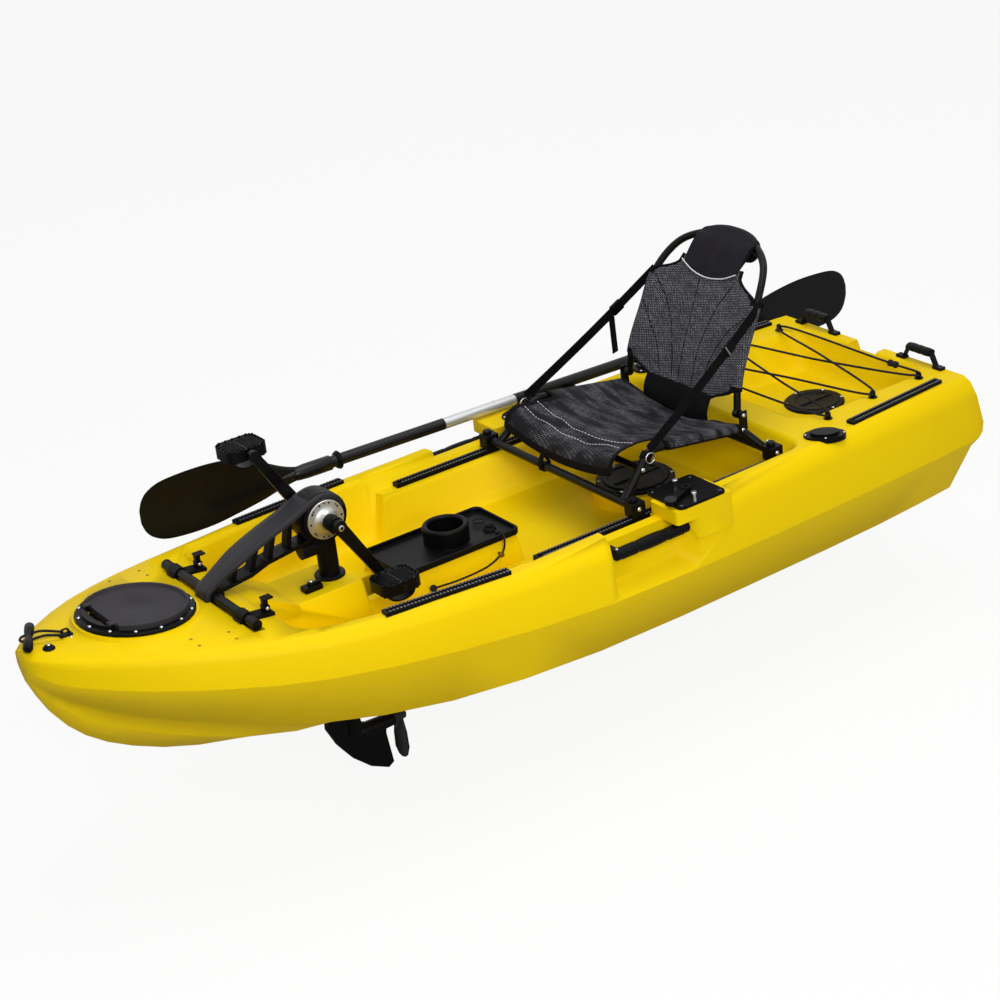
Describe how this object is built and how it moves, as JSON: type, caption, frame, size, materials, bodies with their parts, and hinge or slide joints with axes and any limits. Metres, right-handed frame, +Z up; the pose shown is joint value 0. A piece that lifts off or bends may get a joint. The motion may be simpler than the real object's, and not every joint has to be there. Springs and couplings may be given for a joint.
{
  "type": "pedal kayak",
  "caption": "Short sit-on-top kayak with a flip-up pedal propeller drive, framed mesh seat on rails, hatches, gear tracks and a paddle held along its side.",
  "frame": {"origin": "on the flat bottom of the keel at midlength, on the centreline", "axes": "+X towards the bow, +Y to port, +Z up from the keel"},
  "size_m": [2.745, 0.853, 1.0494],
  "materials": {
    "hull_shell": "rotomoulded polyethylene, even yellow, faint pebble",
    "black_plastic": "moulded black nylon, fine satin",
    "grey_plastic": "moulded dark grey, dull",
    "black_tube": "black powder coat on aluminium",
    "bright_steel": "drawn stainless tube",
    "bright_tube": "bright anodised tube",
    "mesh_fabric": "open grey-black mesh",
    "webbing": "black woven webbing",
    "cord": "black covered cord"
  },
  "bodies": {
    "hull": {"hull": "hull_shell", "bow_hatch_frame": "black_plastic", "seat_hatch_frame": "black_plastic", "stern_hatch_frame": "black_plastic", "bow_pad_eye": "black_plastic", "bow_toggle": "black_plastic", "toggle_cord": "cord", "front_track_port": "black_plastic", "front_track_starboard": "black_plastic", "rear_track_port": "black_plastic", "rear_track_starboard": "black_plastic", "seat_rail_port": "black_plastic", "seat_rail_starboard": "black_plastic", "side_handle_port": "black_plastic", "side_handle_starboard": "black_plastic", "stern_handle_port": "black_plastic", "stern_handle_starboard": "black_plastic", "rod_holder_port": "black_plastic", "rod_holder_starboard": "black_plastic", "rod_holder_mid": "black_plastic", "steering_plate": "black_plastic", "bungee_eye_front_port": "black_plastic", "bungee_eye_front_starboard": "black_plastic", "bungee_eye_mid_port": "black_plastic", "bungee_eye_mid_starboard": "black_plastic", "bungee_eye_rear_port": "black_plastic", "bungee_eye_rear_starboard": "black_plastic", "tank_bungee": "cord", "console_tray": "black_plastic", "tray_cord": "cord", "latch_saddle_port": "black_plastic", "latch_saddle_starboard": "black_plastic", "base_clamp": "black_plastic", "paddle_clip": "black_plastic"},
    "bow_lid": {"bow_hatch_lid": "grey_plastic"},
    "seat_lid": {"seat_hatch_lid": "grey_plastic"},
    "stern_lid": {"stern_hatch_lid": "grey_plastic"},
    "steering_lever": {"steering_lever": "black_plastic"},
    "latch_lever_port": {"latch_lever_port": "grey_plastic"},
    "latch_lever_starboard": {"latch_lever_starboard": "grey_plastic"},
    "base_lever": {"base_lever": "black_plastic"},
    "drive": {"front_pivot_bar": "bright_steel", "drive_arch": "black_tube", "drive_head": "black_plastic", "drive_leg": "black_plastic"},
    "crank": {"crank": "black_tube"},
    "pedal_port": {"pedal_port": "black_plastic"},
    "pedal_starboard": {"pedal_starboard": "black_plastic"},
    "propeller": {"propeller": "grey_plastic"},
    "seat": {"seat_frame": "black_tube", "seat_sling": "mesh_fabric", "back_strap_port": "webbing", "back_strap_starboard": "webbing"},
    "backrest": {"back_frame": "black_tube", "back_sling": "mesh_fabric", "back_cap": "black_plastic"},
    "paddle": {"paddle_front": "black_plastic", "paddle_middle": "bright_tube", "paddle_rear": "black_plastic"}
  },
  "joints": [
    {"name": "bow_lid_hinge", "type": "hinge", "parent": "hull", "child": "bow_lid", "pos_m": [1.06295, 0, 0.40771], "axis": [0, 1, 0], "range_deg": [0, 110]},
    {"name": "seat_lid_twist", "type": "hinge", "parent": "hull", "child": "seat_lid", "pos_m": [-0.4, 0, 0.23], "axis": [0, 0, 1], "range_deg": [0, 90]},
    {"name": "stern_lid_twist", "type": "hinge", "parent": "hull", "child": "stern_lid", "pos_m": [-1, 0, 0.244], "axis": [0, 0, 1], "range_deg": [0, 90]},
    {"name": "steering", "type": "hinge", "parent": "hull", "child": "steering_lever", "pos_m": [-0.281, 0.359, 0.35], "axis": [0, 0, 1], "range_deg": [-40, 30]},
    {"name": "latch_port", "type": "hinge", "parent": "hull", "child": "latch_lever_port", "pos_m": [0.741, 0.157, 0.362], "axis": [0, 1, 0], "range_deg": [-50, 0]},
    {"name": "latch_starboard", "type": "hinge", "parent": "hull", "child": "latch_lever_starboard", "pos_m": [0.741, -0.157, 0.362], "axis": [0, 1, 0], "range_deg": [-50, 0]},
    {"name": "base_lock", "type": "hinge", "parent": "hull", "child": "base_lever", "pos_m": [0.56, 0.036, 0.31], "axis": [0, 0, 1], "range_deg": [-90, 0]},
    {"name": "drive_tilt", "type": "hinge", "parent": "hull", "child": "drive", "pos_m": [0.794, 0, 0.359], "axis": [0, 1, 0], "range_deg": [0, 25]},
    {"name": "crank_spin", "type": "hinge", "parent": "drive", "child": "crank", "pos_m": [0.498, 0, 0.448], "axis": [0, 1, 0], "continuous": true},
    {"name": "pedal_spin_port", "type": "hinge", "parent": "crank", "child": "pedal_port", "pos_m": [0.40787, 0.152, 0.298], "axis": [0, 1, 0], "continuous": true},
    {"name": "pedal_spin_starboard", "type": "hinge", "parent": "crank", "child": "pedal_starboard", "pos_m": [0.58813, -0.152, 0.598], "axis": [0, 1, 0], "continuous": true},
    {"name": "propeller_spin", "type": "hinge", "parent": "drive", "child": "propeller", "pos_m": [0.3665, 0, -0.135], "axis": [1, 0, 0], "continuous": true},
    {"name": "seat_slide", "type": "slide", "parent": "hull", "child": "seat", "axis": [1, 0, 0], "range_m": [0, 0.12]},
    {"name": "back_recline", "type": "hinge", "parent": "seat", "child": "backrest", "pos_m": [-0.566, 0, 0.412], "axis": [0, 1, 0], "range_deg": [0, 25], "deforming": ["back_strap_port", "back_strap_starboard"]},
    {"name": "paddle_lift", "type": "slide", "parent": "hull", "child": "paddle", "axis": [0, 0, 1], "range_m": [0, 0.15]}
  ],
  "couplings": [
    {"joint": "propeller_spin", "follows": "crank_spin", "ratio": 8}
  ]
}
